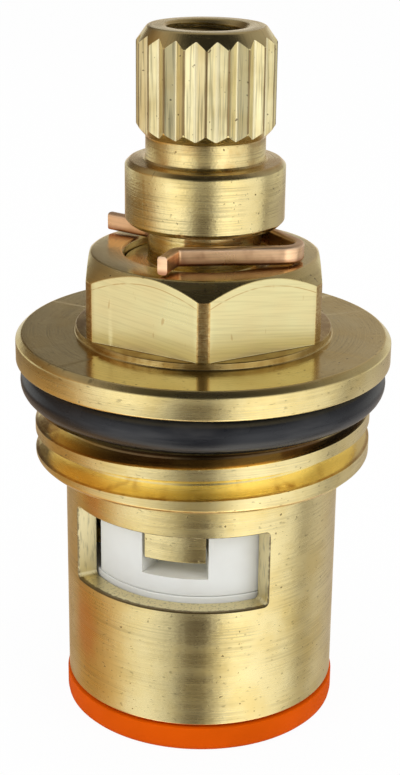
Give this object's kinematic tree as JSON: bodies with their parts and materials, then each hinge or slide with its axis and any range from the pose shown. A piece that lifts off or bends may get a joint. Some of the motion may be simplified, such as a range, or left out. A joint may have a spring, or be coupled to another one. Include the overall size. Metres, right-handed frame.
{
  "type": "faucet cartridge",
  "caption": "Quarter-turn ceramic disc faucet cartridge with a splined brass stem, hexagon, flange O-ring, threaded ring, water windows and a soft seat seal.",
  "frame": {"origin": "on the cartridge's axis, at the lower face of the seat seal", "axes": "+Z along the axis from the seat seal towards the splined stem; -Y is the front, where the clip's straight strand and a water window face; +X to the front's right"},
  "size_m": [0.0232, 0.0232, 0.0434],
  "materials": {
    "body_brass": "turned, satin bright",
    "stem_brass": "turned, satin bright",
    "phosphor_bronze": "rolled wire, satin",
    "black_rubber": "moulded, satin",
    "orange_silicone": "moulded, matte",
    "ceramic": "ground, matte",
    "acetal": "matte"
  },
  "bodies": {
    "housing": {"body": "body_brass", "flange_o_ring": "black_rubber", "fixed_disc": "ceramic", "bottom_seal": "orange_silicone", "thrust_washer": "acetal"},
    "spindle": {"stem": "stem_brass", "retaining_clip": "phosphor_bronze", "upper_stem_o_ring": "black_rubber", "lower_stem_o_ring": "black_rubber", "moving_disc": "ceramic"}
  },
  "joints": [
    {"name": "stem_turn", "type": "hinge", "parent": "housing", "child": "spindle", "pos_m": [0, 0, 0.025], "axis": [0, 0, 1], "range_deg": [0, 90]}
  ]
}
